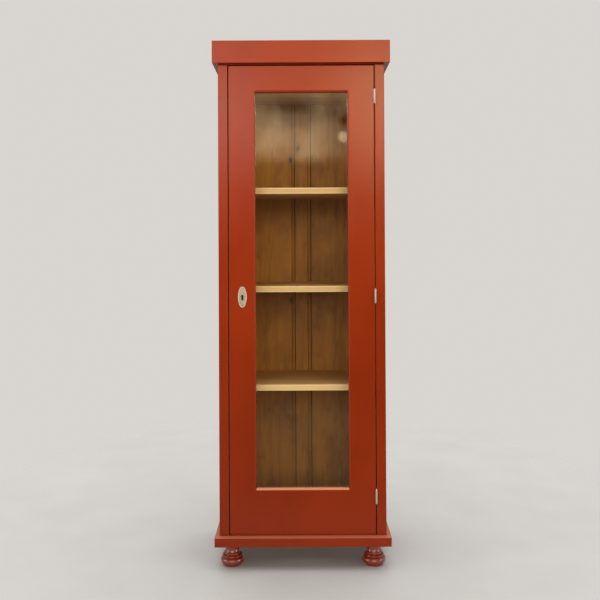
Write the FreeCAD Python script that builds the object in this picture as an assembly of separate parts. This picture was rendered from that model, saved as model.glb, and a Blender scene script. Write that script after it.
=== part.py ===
import FreeCAD, Part
import os

# Narrow one-door glazed display cabinet of painted pine, on turned feet.
# Millimetres, +Z up. The origin is on the floor under the middle of the cabinet, and the door faces -Y.

# Overall sizes: floor to top, across the posts, and face of the posts to the back
overall_h = 1800.0
body_w = 569.0
body_d = 365.0

# Base: turned feet under a flat mitred frame
foot_h = 84.0
plinth_h = 31.0
plinth_member_w = 90.0
plinth_side_over = 15.0
plinth_front_over = 22.0
plinth_tenon_len = 20.0
plinth_tenon_t = 10.0
foot_side_inset = 54.5
foot_end_inset = 72.0

# Turned foot, from the floor up: pad, bun, collar, ring, waisted neck, head and spigot
foot_pad_r = 32.0
foot_pad_h = 5.0
foot_pad_ease = 1.5
foot_bun_r = 40.4
foot_bun_h = 26.5
foot_collar_r = 34.0
foot_collar_h = 4.3
foot_ring_r = 29.6
foot_ring_h = 7.3
foot_groove_w = 1.2
foot_groove_d = 2.5
foot_neck_r = 23.6
foot_neck_waist_share = 0.3
foot_head_r = 31.0
foot_head_h = 4.0
foot_spigot_r = 12.0
foot_spigot_h = 24.0

# Cornice: boards planted round the head of the case, under a flat top board
cornice_top_t = 18.0
cornice_board_h = 58.0
cornice_side_over = 18.0
cornice_front_over = 22.0

# Case boards
side_t = 20.0
post_w = 32.5
board_t = 18.0
housing_d = 6.0
panel_tongue_t = 6.0
panel_tongue_len = 8.0
rail_tenon_t = 8.0
rail_tenon_len = 12.0
rail_tenon_shoulder = 8.0
ceiling_below_door_top = 70.0
stop_strip_w = 24.0
stop_strip_t = 20.0
arris = 1.2

# Back: three upright tongued boards in a rebate, a bead beside each joint, nailed on
back_t = 14.0
back_rebate_w = 10.0
back_middle_w = 62.0
back_middle_x = 5.6
back_joint_gap = 0.6
back_tongue_t = 4.5
back_tongue_len = 7.0
bead_w = 11.0
bead_drop = 2.6
quirk_w = 2.4
nail_w = 2.4
nail_head_w = 5.0
nail_head_t = 1.0
nail_len = 34.0
nail_edge = 22.0
nails_per_edge = 5

# Shelves on side cleats
shelf_t = 21.0
shelf_first_top = 618.5
shelf_pitch = 343.0
shelf_front_inset = 52.0
shelf_end_gap = 0.4
shelf_ease = 2.0
cleat_w = 18.0
cleat_h = 22.0
cleat_end_inset = 8.0

# Door frame, its gaps in the case, and its glass
door_t = 24.5
door_gap = 3.0
door_stop_gap = 0.5
door_foot_gap = 2.0
door_head_gap = 5.0
stile_w = 91.0
top_rail_h = 90.0
bottom_rail_h = 157.0
lip_t = 16.0
lip_round = 6.0
rebate_w = 9.0
door_tenon_t = 8.0
door_tenon_len = 58.0
door_tenon_shoulder = 18.0
mortise_end_gap = 0.5
glass_t = 3.0
glass_edge_gap = 1.0
bead_strip_w = 8.0
bead_strip_round = 3.5

# Butt hinges with a turned tip at each end of the pin
hinge_len = 46.0
hinge_top_margin = 106.0
hinge_bottom_margin = 130.0
knuckles = 5
knuckle_r = 3.4
knuckle_gap = 0.3
knuckle_stand_off = 0.3
leaf_t = 1.4
leaf_depth = 20.0
leaf_notch_gap = 0.4
pin_r = 1.7
pin_running_gap = 0.05
pin_tip_r = 2.7
pin_tip_neck_r = 1.9
pin_tip_len = 4.0

# Countersunk wood screws
screw_r = 1.5
screw_head_r = 2.8
screw_head_h = 1.2
screw_len = 15.0
screw_gap = 0.05
hinge_screw_pitch = 15.0
hinge_screw_stagger = 2.5
hinge_screw_depth = 12.0

# Cupboard lock let into the back of the door's free stile
key_rise = 811.0
key_round_r = 3.7
key_slot_w = 3.4
key_slot_foot_w = 7.0
key_slot_len = 12.0
key_pin_rise = 3.0
key_pin_r = 2.0
key_pin_len = 8.5
key_wood_gap = 0.6
lock_plate_t = 1.8
lock_plate_h = 70.0
lock_land = 5.5
lock_margin = 9.0
lock_case_h = 54.0
lock_case_d = 11.0
lock_wall = 1.2
lock_rise = 5.0
lock_pocket_gap = 0.3
selvedge_w = 13.5
bolt_t = 5.0
bolt_h = 18.0
bolt_over_pin = 6.0
bolt_tail_gap = 7.0
bolt_throw = 10.0
bolt_gap = 0.3
bolt_inset = 0.2
talon_r = 4.0
stud_w = 4.0
stud_h = 4.0
stud_below_top = 6.0
spring_t = 0.6
spring_foot = 10.0
lock_screw_inset = 4.0

# Strike plate on the post, and the socket behind it
strike_t = 1.5
strike_w = 12.0
strike_h = 52.0
socket_gap = 0.5
socket_end_gap = 2.0
strike_screw_z_inset = 6.0

# Oval keyhole plate
plate_w = 30.0
plate_h = 71.0
plate_end_r = 9.0
plate_t = 1.2
plate_rim_w = 2.4
plate_rim_h = 0.9
plate_pin_inset = 8.0
plate_pin_r = 0.9
plate_pin_head_r = 1.7
plate_pin_head_h = 1.1
plate_pin_len = 8.0

# How far a cutting shape runs past what it cuts, and how close two coincident places lie
overrun = 5.0
coincide = 0.0001

# Planes that the pieces share
body_x = body_w / 2
post_x = body_x - post_w
side_x = body_x - side_t
door_x = post_x - door_gap
win_x = door_x - stile_w
face_y = (max(cornice_front_over, plinth_front_over) - body_d) / 2
back_y = face_y + body_d
post_t = door_t + door_stop_gap
stop_y = face_y + post_t
lining_y = back_y - back_t
rear_y = face_y + door_t
base_z = foot_h + plinth_h
top_z = overall_h - cornice_top_t
cornice_z = top_z - cornice_board_h
door_z0 = base_z + door_foot_gap
door_z1 = cornice_z - door_head_gap
win_z0 = door_z0 + bottom_rail_h
win_z1 = door_z1 - top_rail_h
floor_z = base_z + board_t
ceiling_z = door_z1 - ceiling_below_door_top
hinge_x = post_x - door_gap / 2
hinge_y = face_y - knuckle_r - knuckle_stand_off
key_x = -(door_x + win_x) / 2
key_z = door_z0 + key_rise
pin_z = key_z + key_pin_rise
bolt_z0 = pin_z + bolt_over_pin
bolt_y1 = rear_y - lock_plate_t - bolt_gap
lock_z = pin_z + lock_rise

V = FreeCAD.Vector
nodes = {}


def block(x, y, z):
    """Box between pairs of planes, each given as (low, high)."""
    return Part.makeBox(x[1] - x[0], y[1] - y[0], z[1] - z[0], V(x[0], y[0], z[0]))


def rod(r, start, along):
    """Cylinder from a point along a vector."""
    return Part.makeCylinder(r, along.Length, start, along)


def slab(points, along):
    """Flat outline of straight sides, pushed along a vector."""
    return Part.Face(Part.makePolygon(points + points[:1])).extrude(along)


def mirrored(shape):
    """The same piece on the other side of the cabinet."""
    return shape.mirror(V(), V(1, 0, 0))


def eased(shape, radius, wanted):
    """Rounds the edges whose middle and direction satisfy wanted(middle, direction)."""
    picked = []
    for edge in shape.Edges:
        along = edge.tangentAt(edge.FirstParameter)
        if wanted(edge.CenterOfMass, along):
            picked.append(edge)
    return shape.makeFillet(radius, picked)


def near(a, b):
    """True for two places that coincide."""
    return abs(a - b) < coincide


def within(p, half_w, z):
    """True for a place on or inside an upright rectangle about the middle of the cabinet."""
    return abs(p.x) < half_w + coincide and z[0] - coincide < p.z < z[1] + coincide


def screw(head, into):
    """Countersunk screw: flat of the head at a point, shank along a unit vector."""
    cone = Part.makeCone(screw_head_r, screw_r, screw_head_h, head, into)
    return cone.fuse(rod(screw_r, head, into * screw_len))


def screw_hole(head, into):
    """The space that such a screw fills, a little larger all round."""
    mouth = head - into * overrun
    cone = Part.makeCone(screw_head_r + screw_gap, screw_r + screw_gap, screw_head_h, head, into)
    shank = rod(screw_r + screw_gap, head, into * (screw_len + screw_gap))
    return cone.fuse([shank, rod(screw_head_r + screw_gap, mouth, into * overrun)])


# Turned feet: one profile of beads and hollows, spun about the upright axis
def foot(x, y):
    """One foot under the given place of the base."""
    collar_neck_r = foot_collar_r - foot_groove_d
    ring_neck_r = foot_ring_r - foot_groove_d
    bun_top = foot_pad_h + foot_bun_h
    collar_z = bun_top + foot_groove_w
    collar_top = collar_z + foot_collar_h
    ring_z = collar_top + foot_groove_w
    ring_top = ring_z + foot_ring_h
    bun_z = foot_pad_h + foot_bun_h / 2
    collar_mid = collar_z + foot_collar_h / 2
    head_z = foot_h - foot_head_h
    waist_z = ring_top + foot_neck_waist_share * (head_z - ring_top)

    def at(r, z):
        return V(x + r, y, z)

    def line(a, b):
        return Part.makeLine(at(*a), at(*b))

    def bow(a, through, b):
        return Part.Arc(at(*a), at(*through), at(*b)).toShape()

    profile = [
        line((0, 0), (foot_pad_r - foot_pad_ease, 0)),
        line((foot_pad_r - foot_pad_ease, 0), (foot_pad_r, foot_pad_ease)),
        line((foot_pad_r, foot_pad_ease), (foot_pad_r, foot_pad_h)),
        bow((foot_pad_r, foot_pad_h), (foot_bun_r, bun_z), (collar_neck_r, bun_top)),
        line((collar_neck_r, bun_top), (collar_neck_r, collar_z)),
        bow((collar_neck_r, collar_z), (foot_collar_r, collar_mid), (collar_neck_r, collar_top)),
        line((collar_neck_r, collar_top), (ring_neck_r, collar_top)),
        line((ring_neck_r, collar_top), (ring_neck_r, ring_z)),
        bow((ring_neck_r, ring_z), (foot_ring_r, ring_z + foot_ring_h / 2), (ring_neck_r, ring_top)),
        bow((ring_neck_r, ring_top), (foot_neck_r, waist_z), (foot_head_r, head_z)),
        line((foot_head_r, head_z), (foot_head_r, foot_h)),
        line((foot_head_r, foot_h), (foot_spigot_r, foot_h)),
        line((foot_spigot_r, foot_h), (foot_spigot_r, foot_h + foot_spigot_h)),
        line((foot_spigot_r, foot_h + foot_spigot_h), (0, foot_h + foot_spigot_h)),
        line((0, foot_h + foot_spigot_h), (0, 0)),
    ]
    return Part.Face(Part.Wire(profile)).revolve(V(x, y, 0), V(0, 0, 1), 360)


plinth_x = body_x + plinth_side_over
plinth_y = face_y - plinth_front_over
foot_places = {}
for end, y in (("front", plinth_y + foot_end_inset), ("rear", back_y - foot_end_inset)):
    for side, x in (("left", foot_side_inset - plinth_x), ("right", plinth_x - foot_side_inset)):
        foot_places[f"foot_{end}_{side}"] = (x, y)
for name, (x, y) in foot_places.items():
    nodes[name] = foot(x, y)


# Base frame: front corners mitred, back member tenoned between the sides, bored for the feet
def plinth():
    span = (-plinth_x, plinth_x)
    whole = block(span, (plinth_y, back_y), (foot_h, base_z))
    whole = eased(whole, arris, lambda p, d: p.y < back_y - coincide)
    inner_x = plinth_x - plinth_member_w
    inner_y = plinth_y + plinth_member_w
    up = V(0, 0, plinth_h)
    corner = V(-plinth_x, plinth_y, foot_h)
    inner = V(-inner_x, inner_y, foot_h)
    front_outline = [corner, V(plinth_x, plinth_y, foot_h), V(inner_x, inner_y, foot_h), inner]
    left_outline = [corner, inner, V(-inner_x, back_y, foot_h), V(-plinth_x, back_y, foot_h)]

    tenon_reach = inner_x + plinth_tenon_len
    middle_z = foot_h + plinth_h / 2
    back_y_span = (back_y - plinth_member_w, back_y)
    tenon_z = (middle_z - plinth_tenon_t / 2, middle_z + plinth_tenon_t / 2)
    tenon = block((-tenon_reach, tenon_reach), back_y_span, tenon_z)
    back = block((-inner_x, inner_x), back_y_span, (foot_h, base_z)).fuse(tenon).removeSplitter()

    left = whole.common(slab(left_outline, up)).cut(tenon)
    pieces = {
        "front": whole.common(slab(front_outline, up)),
        "left": left,
        "right": mirrored(left),
        "back": back,
    }
    bores = [rod(foot_spigot_r, V(x, y, foot_h), V(0, 0, foot_spigot_h)) for x, y in foot_places.values()]
    for place, piece in pieces.items():
        nodes[f"plinth_{place}"] = piece.cut(bores)


plinth()


# Hinges: two leaves with knuckles in turn about one pin
def hinge_centres():
    """Heights of the hinges' middles, from the top one down."""
    high = door_z1 - hinge_top_margin
    low = door_z0 + hinge_bottom_margin
    return {"top": high, "middle": (high + low) / 2, "bottom": low}


def leaf(z, root_x, inward, first):
    """One leaf: a plate let in beside the gap, with every second knuckle from the given one."""
    pitch = hinge_len / knuckles
    z0 = z - hinge_len / 2
    plate_x = sorted((root_x, root_x + inward * leaf_t))
    plate = block(plate_x, (hinge_y, face_y + leaf_depth), (z0, z0 + hinge_len))
    barrels = []
    for i in range(knuckles):
        span = (z0 + i * pitch + knuckle_gap / 2, z0 + (i + 1) * pitch - knuckle_gap / 2)
        if i % 2 == first:
            barrels.append(rod(knuckle_r, V(hinge_x, hinge_y, span[0]), V(0, 0, span[1] - span[0])))
        else:
            clear = (span[0] - knuckle_gap, span[1] + knuckle_gap)
            wide = (plate_x[0] - overrun, plate_x[1] + overrun)
            plate = plate.cut(block(wide, (hinge_y - overrun, hinge_y + knuckle_r + leaf_notch_gap), clear))
    bore = rod(pin_r + pin_running_gap, V(hinge_x, hinge_y, z0 - overrun), V(0, 0, hinge_len + 2 * overrun))
    return plate.fuse(barrels).removeSplitter().cut(bore)


def hinge_pin(z):
    """Pin whose two turned tips close the barrel's ends."""
    half = hinge_len / 2
    outline = []
    tip_end = half + pin_tip_len
    tip = [(pin_r, half), (pin_tip_r, half), (pin_tip_neck_r, half + pin_tip_len / 2), (0, tip_end)]
    for end in (1, -1):
        outline += [(r, end * h) for r, h in tip[::end]]
    points = [V(hinge_x + r, hinge_y, z + h) for r, h in outline[::-1]]
    return Part.Face(Part.makePolygon(points + points[:1])).revolve(V(hinge_x, hinge_y, z), V(0, 0, 1), 360)


def leaf_recess(z, root_x, inward):
    """The shallow seat cut for a leaf in the edge of the wood, open to the front."""
    wide = sorted((root_x - inward * overrun, root_x + inward * leaf_t))
    return block(wide, (face_y - overrun, face_y + leaf_depth), (z - hinge_len / 2, z + hinge_len / 2))


def leaf_screws(z, root_x, inward, shape_of):
    """Three staggered screws, or their holes, through one leaf."""
    made = []
    for i in (-1, 0, 1):
        y = face_y + hinge_screw_depth + abs(i) * hinge_screw_stagger
        made.append(shape_of(V(root_x, y, z + i * hinge_screw_pitch), V(inward, 0, 0)))
    return made


frame_screws, frame_screw_holes, frame_recesses = [], [], []
door_screws, door_screw_holes, door_recesses = [], [], []
for place, z in hinge_centres().items():
    frame_leaf_holes = leaf_screws(z, post_x, 1, screw_hole)
    door_leaf_holes = leaf_screws(z, door_x, -1, screw_hole)
    nodes[f"hinge_frame_leaf_{place}"] = leaf(z, post_x, 1, 0).cut(frame_leaf_holes)
    nodes[f"hinge_door_leaf_{place}"] = leaf(z, door_x, -1, 1).cut(door_leaf_holes)
    nodes[f"hinge_pin_{place}"] = hinge_pin(z)
    frame_screws += leaf_screws(z, post_x, 1, screw)
    door_screws += leaf_screws(z, door_x, -1, screw)
    frame_screw_holes += frame_leaf_holes
    door_screw_holes += door_leaf_holes
    frame_recesses.append(leaf_recess(z, post_x, 1))
    door_recesses.append(leaf_recess(z, door_x, -1))
nodes["hinge_screws_frame"] = Part.makeCompound(frame_screws)
nodes["hinge_screws_door"] = Part.makeCompound(door_screws)


# Strike plate let into the free post's edge, with the bolt's socket behind it
socket = block(
    (-post_x - (bolt_throw - door_gap) - socket_end_gap, -post_x + overrun),
    (bolt_y1 - bolt_t - socket_gap, bolt_y1 + socket_gap),
    (bolt_z0 - socket_gap, bolt_z0 + bolt_h + socket_gap),
)
strike_z = bolt_z0 + bolt_h / 2
strike_span = (strike_z - strike_h / 2, strike_z + strike_h / 2)
strike_seat = block((-post_x - strike_t, -post_x), (stop_y - strike_w, stop_y), strike_span)
strike_screw_list, strike_holes = [], []
for z in (strike_span[0] + strike_screw_z_inset, strike_span[1] - strike_screw_z_inset):
    head = V(-post_x, stop_y - strike_w / 2, z)
    strike_screw_list.append(screw(head, V(-1, 0, 0)))
    strike_holes.append(screw_hole(head, V(-1, 0, 0)))
nodes["strike_plate"] = strike_seat.cut(strike_holes + [socket])
nodes["strike_screws"] = Part.makeCompound(strike_screw_list)


# Front posts, grooved behind for the side panels and mortised for the head rail
def panel_tongue_x():
    """The groove and tongue lie in the middle of the side panel's thickness."""
    middle = (body_x + side_x) / 2
    return (-middle - panel_tongue_t / 2, -middle + panel_tongue_t / 2)


head_rail_z = (door_z1 + door_gap, top_z)
head_rail_tenon = block(
    (-post_x - rail_tenon_len, post_x + rail_tenon_len),
    (face_y + (post_t - rail_tenon_t) / 2, face_y + (post_t + rail_tenon_t) / 2),
    (head_rail_z[0] + rail_tenon_shoulder, head_rail_z[1] - rail_tenon_shoulder),
)
head_rail = block((-post_x, post_x), (face_y, stop_y), head_rail_z)
nodes["head_rail"] = head_rail.fuse(head_rail_tenon).removeSplitter()

post = block((-body_x, -post_x), (face_y, stop_y), (base_z, top_z))
post = eased(post, arris, lambda p, d: near(p.y, face_y) and near(abs(d.z), 1))
groove_y = (stop_y - panel_tongue_len, stop_y + overrun)
groove = block(panel_tongue_x(), groove_y, (base_z - overrun, top_z + overrun))
post = post.cut([groove, head_rail_tenon])
nodes["left_front_post"] = post.cut([strike_seat, socket] + strike_holes)
nodes["right_front_post"] = mirrored(post).cut(frame_recesses + frame_screw_holes)


# Back boards, tongued into each other, with a bead worked beside each joint
def back_board(x, beaded, grooved):
    """One upright board between two joints, beaded and tongued on its right edge, grooved on its left."""
    x0, x1 = x
    middle_y = (lining_y + back_y) / 2
    if beaded:
        quirk = x1 - bead_w - quirk_w
        edge_y = lining_y + bead_drop
        crown = V(x1 - bead_w / 2, lining_y, base_z)
        sides = [
            Part.makeLine(V(x0, lining_y, base_z), V(quirk, lining_y, base_z)),
            Part.makeLine(V(quirk, lining_y, base_z), V(x1 - bead_w, edge_y, base_z)),
            Part.Arc(V(x1 - bead_w, edge_y, base_z), crown, V(x1, edge_y, base_z)).toShape(),
            Part.makeLine(V(x1, edge_y, base_z), V(x1, back_y, base_z)),
            Part.makeLine(V(x1, back_y, base_z), V(x0, back_y, base_z)),
            Part.makeLine(V(x0, back_y, base_z), V(x0, lining_y, base_z)),
        ]
        board = Part.Face(Part.Wire(sides)).extrude(V(0, 0, top_z - base_z))
        tongue_y = (middle_y - back_tongue_t / 2, middle_y + back_tongue_t / 2)
        board = board.fuse(block((x1, x1 + back_tongue_len), tongue_y, (base_z, top_z))).removeSplitter()
    else:
        board = block((x0, x1), (lining_y, back_y), (base_z, top_z))
    if grooved:
        half_groove = (back_tongue_t + back_joint_gap) / 2
        groove_y = (middle_y - half_groove, middle_y + half_groove)
        groove_z = (base_z - overrun, top_z + overrun)
        board = board.cut(block((x0 - overrun, x0 + back_tongue_len), groove_y, groove_z))
    return board


lining_x = side_x + back_rebate_w
joint_left = back_middle_x - back_middle_w / 2
joint_right = back_middle_x + back_middle_w / 2
back_spans = {
    "left": (-lining_x, joint_left),
    "middle": (joint_left + back_joint_gap, joint_right),
    "right": (joint_right + back_joint_gap, lining_x),
}


# Nails through the back boards into the floor, the ceiling and the edges of the sides
def nail(x, z):
    """Square nail, its head let in flush with the back."""

    def bar(w, depth):
        return block((x - w / 2, x + w / 2), (back_y - depth, back_y), (z - w / 2, z + w / 2))

    return bar(nail_w, nail_len).fuse(bar(nail_head_w, nail_head_t)).removeSplitter()


nails = []
row_z = (base_z + board_t / 2, ceiling_z + board_t / 2)
for z in row_z:
    for x0, x1 in (back_spans["left"], back_spans["right"]):
        nails += [nail(x0 + nail_edge, z), nail(x1 - nail_edge, z)]
    nails.append(nail(sum(back_spans["middle"]) / 2, z))
edge_step = (row_z[1] - row_z[0]) / (nails_per_edge + 1)
edge_x = side_x + back_rebate_w / 2
for i in range(nails_per_edge):
    z = row_z[0] + (i + 1) * edge_step
    nails += [nail(-edge_x, z), nail(edge_x, z)]
nodes["back_nails"] = Part.makeCompound(nails)

nodes["back_board_left"] = back_board(back_spans["left"], True, False).cut(nails)
nodes["back_board_middle"] = back_board(back_spans["middle"], True, True).cut(nails)
nodes["back_board_right"] = back_board(back_spans["right"], False, True).cut(nails)


# Floor and ceiling boards, housed in the sides
def cross_board(z0):
    reach = side_x + housing_d
    return block((-reach, reach), (stop_y, lining_y), (z0, z0 + board_t))


floor_board = cross_board(base_z)
ceiling_board = cross_board(ceiling_z)

# Side panels: tongued into the posts, rebated for the back, housed for the floor and the ceiling
panel = block((-body_x, -side_x), (stop_y, back_y), (base_z, top_z))
panel_tongue = block(panel_tongue_x(), (stop_y - panel_tongue_len, stop_y), (base_z, top_z))
panel = panel.fuse(panel_tongue).removeSplitter()
back_seat = block((-lining_x, lining_x), (lining_y, back_y + overrun), (base_z - overrun, top_z + overrun))
panel = panel.cut([back_seat, floor_board, ceiling_board])
nodes["left_side_panel"] = panel.cut(nails)
nodes["right_side_panel"] = mirrored(panel).cut(nails)
nodes["floor_board"] = floor_board.cut(nails)
nodes["ceiling_board"] = ceiling_board.cut(nails)

# Strip behind the free post that the door shuts against
nodes["door_stop_strip"] = block(
    (-side_x, -side_x + stop_strip_w),
    (stop_y, stop_y + stop_strip_t),
    (floor_z, ceiling_z),
)


# Shelves, each on a cleat at either end
shelf_x = side_x - shelf_end_gap
shelf_y = face_y + shelf_front_inset
for i, level in enumerate(("lower", "middle", "upper")):
    shelf_top = shelf_first_top + i * shelf_pitch
    shelf_foot = shelf_top - shelf_t
    shelf = block((-shelf_x, shelf_x), (shelf_y, lining_y), (shelf_foot, shelf_top))
    nodes[f"shelf_{level}"] = eased(shelf, shelf_ease, lambda p, d: near(p.y, shelf_y) and near(abs(d.x), 1))
cleat_y = (shelf_y + cleat_end_inset, lining_y - cleat_end_inset)
cleats = []
for i in range(3):
    shelf_foot = shelf_first_top + i * shelf_pitch - shelf_t
    cleats.append(block((-side_x, -side_x + cleat_w), cleat_y, (shelf_foot - cleat_h, shelf_foot)))
nodes["left_shelf_cleats"] = Part.makeCompound(cleats)
nodes["right_shelf_cleats"] = mirrored(nodes["left_shelf_cleats"])


# Cornice boards mitred at the front corners, and the top board over them
def cornice():
    outer_x = body_x + cornice_side_over
    outer_y = face_y - cornice_front_over
    span = (-outer_x, outer_x)
    ring = block(span, (outer_y, back_y), (cornice_z, top_z))
    top = block(span, (outer_y, back_y), (top_z, overall_h))

    def shown(p, d):
        return p.y < back_y - coincide and not near(p.z, top_z)

    ring = eased(ring, arris, shown)
    nodes["cornice_top"] = eased(top, arris, shown)
    up = V(0, 0, cornice_board_h)
    corner = V(-outer_x, outer_y, cornice_z)
    inner = V(-body_x, face_y, cornice_z)
    front_outline = [corner, V(outer_x, outer_y, cornice_z), V(body_x, face_y, cornice_z), inner]
    left_outline = [corner, inner, V(-body_x, back_y, cornice_z), V(-outer_x, back_y, cornice_z)]
    nodes["cornice_front"] = ring.common(slab(front_outline, up))
    nodes["cornice_left"] = ring.common(slab(left_outline, up))
    nodes["cornice_right"] = mirrored(nodes["cornice_left"])


cornice()


# Keyhole outline: a round hole over a slot that widens to its foot, pushed along Y
def keyhole(grow, y0, y1):
    along = V(0, y1 - y0, 0)
    half = key_slot_w / 2 + grow
    foot_half = key_slot_foot_w / 2 + grow
    foot_z = pin_z - key_slot_len - grow
    head = [V(key_x - half, y0, pin_z), V(key_x + half, y0, pin_z)]
    foot = [V(key_x + foot_half, y0, foot_z), V(key_x - foot_half, y0, foot_z)]
    return rod(key_round_r + grow, V(key_x, y0, pin_z), along).fuse(slab(head + foot, along))


# Lock: plate with a turned edge and the key's pin, cap over the works, bolt and its bow spring
edge_x0 = -door_x
plate_span_x = (edge_x0, -win_x - rebate_w - lock_land)
plate_span_z = (lock_z - lock_plate_h / 2, lock_z + lock_plate_h / 2)
case_x = (edge_x0 + lock_plate_t, plate_span_x[1] - lock_margin)
case_y = (rear_y - lock_plate_t - lock_case_d, rear_y - lock_plate_t)
case_z = (lock_z - lock_case_h / 2, lock_z + lock_case_h / 2)
bolt_x = (edge_x0 + bolt_inset, case_x[1] - lock_wall - bolt_tail_gap)
bolt_y = (bolt_y1 - bolt_t, bolt_y1)
bolt_z = (bolt_z0, bolt_z0 + bolt_h)
stud_x = bolt_x[1] - bolt_throw - stud_w - 2 * bolt_gap
stud_z = bolt_z[1] - stud_below_top

back_plate = block(plate_span_x, (rear_y - lock_plate_t, rear_y), plate_span_z)
selvedge = block((edge_x0, edge_x0 + lock_plate_t), (rear_y - selvedge_w, rear_y), plate_span_z)
bolt_mouth = block(
    (edge_x0 - overrun, edge_x0 + lock_plate_t + overrun),
    (bolt_y[0] - bolt_gap, bolt_y[1] + bolt_gap),
    (bolt_z[0] - bolt_gap, bolt_z[1] + bolt_gap),
)
lock_seats = [back_plate, selvedge]
key_pin = rod(key_pin_r, V(key_x, rear_y - lock_plate_t, pin_z), V(0, -key_pin_len, 0))
stud = block(
    (stud_x - stud_w / 2, stud_x + stud_w / 2),
    (bolt_y[0], rear_y - lock_plate_t),
    (stud_z - stud_h / 2, stud_z + stud_h / 2),
)
lock_screw_list, lock_screw_holes = [], []
for x in (case_x[0] + lock_margin, plate_span_x[1] - lock_screw_inset):
    for z in (plate_span_z[0] + lock_screw_inset, plate_span_z[1] - lock_screw_inset):
        lock_screw_list.append(screw(V(x, rear_y, z), V(0, -1, 0)))
        lock_screw_holes.append(screw_hole(V(x, rear_y, z), V(0, -1, 0)))
nodes["lock_screws"] = Part.makeCompound(lock_screw_list)
lock_plate = back_plate.fuse([selvedge, key_pin, stud]).removeSplitter()
nodes["lock_plate"] = lock_plate.cut([bolt_mouth] + lock_screw_holes)

cap = block(case_x, case_y, case_z)
cap_hollow = block(
    (case_x[0] - overrun, case_x[1] - lock_wall),
    (case_y[0] + lock_wall, case_y[1] + overrun),
    (case_z[0] + lock_wall, case_z[1] - lock_wall),
)
nodes["lock_cap"] = cap.cut([cap_hollow, keyhole(0, case_y[0] - overrun, case_y[0] + overrun)])

stud_slot_reach = stud_w / 2 + bolt_gap
stud_slot = block(
    (stud_x - stud_slot_reach, stud_x + stud_slot_reach + bolt_throw),
    (bolt_y[0] - overrun, bolt_y[1] + overrun),
    (stud_z - stud_h / 2 - bolt_gap, stud_z + stud_h / 2 + bolt_gap),
)
talon = rod(talon_r, V(key_x + bolt_throw / 2, bolt_y[0] - overrun, bolt_z0), V(0, bolt_t + 2 * overrun, 0))
nodes["lock_bolt"] = block(bolt_x, bolt_y, bolt_z).cut([stud_slot, talon])


def bow_spring():
    """Leaf on the bolt's top edge, flat where it is riveted and bowed up under the case's roof."""
    start = bolt_x[1] - spring_foot
    far = case_x[0] + bolt_throw + bolt_gap
    rise = case_z[1] - lock_wall - bolt_gap - bolt_z[1]

    def at(x, lift):
        return V(x, bolt_y[0], bolt_z[1] + lift)

    crest = (start + far) / 2
    outline = [
        Part.makeLine(at(bolt_x[1], 0), at(start, 0)),
        Part.Arc(at(start, 0), at(crest, rise - spring_t), at(far, 0)).toShape(),
        Part.makeLine(at(far, 0), at(far, spring_t)),
        Part.Arc(at(far, spring_t), at(crest, rise), at(start, spring_t)).toShape(),
        Part.makeLine(at(start, spring_t), at(bolt_x[1], spring_t)),
        Part.makeLine(at(bolt_x[1], spring_t), at(bolt_x[1], 0)),
    ]
    return Part.Face(Part.Wire(outline)).extrude(V(0, bolt_t, 0))


nodes["lock_spring"] = bow_spring()


# Keyhole plate: an oval with a raised rim, held by two round-headed pins
def oval(inset, y0, depth):
    """The plate's outline drawn in by an inset: a small arc at each end runs into a flat one each side."""
    half_w = plate_w / 2 - inset
    half_h = plate_h / 2 - inset
    end_r = plate_end_r - inset
    side_r = (half_w ** 2 + half_h ** 2 - 2 * half_h * end_r) / (2 * half_w - 2 * end_r)
    end = V(0, 0, half_h - end_r)
    side = V(half_w - side_r, 0, 0)
    meet = side + (end - side).normalize() * side_r

    def at(x, z):
        return V(key_x + x, y0, key_z + z)

    sides = []
    for s in (1, -1):
        ends = at(-s * meet.x, s * meet.z), at(s * meet.x, s * meet.z)
        sides.append(Part.Arc(ends[0], at(0, s * half_h), ends[1]).toShape())
        sides.append(Part.Arc(ends[1], at(s * half_w, 0), at(s * meet.x, -s * meet.z)).toShape())
    return Part.Face(Part.Wire(sides)).extrude(V(0, depth, 0))


plate_pins, plate_pin_holes = [], []
for z in (key_z - plate_h / 2 + plate_pin_inset, key_z + plate_h / 2 - plate_pin_inset):
    seat = V(key_x, face_y - plate_t, z)
    head = Part.makeSphere(plate_pin_head_r, seat)
    head = head.common(block(
        (key_x - plate_pin_head_r, key_x + plate_pin_head_r),
        (seat.y - plate_pin_head_h, seat.y),
        (z - plate_pin_head_r, z + plate_pin_head_r),
    ))
    shank = rod(plate_pin_r, seat, V(0, plate_pin_len, 0))
    plate_pins.append(head.fuse(shank))
    plate_pin_holes.append(shank)
plate = oval(0, face_y - plate_t, plate_t)
rim_y = face_y - plate_t - plate_rim_h
rim = oval(0, rim_y, plate_rim_h)
dish = oval(plate_rim_w, rim_y - overrun, plate_rim_h + overrun)
plate = plate.fuse(rim.cut(dish)).removeSplitter()
key_hole = keyhole(0, face_y - plate_t - overrun, face_y + overrun)
nodes["keyhole_plate"] = plate.cut([key_hole] + plate_pin_holes)
nodes["keyhole_plate_pins"] = Part.makeCompound(plate_pins)


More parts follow.
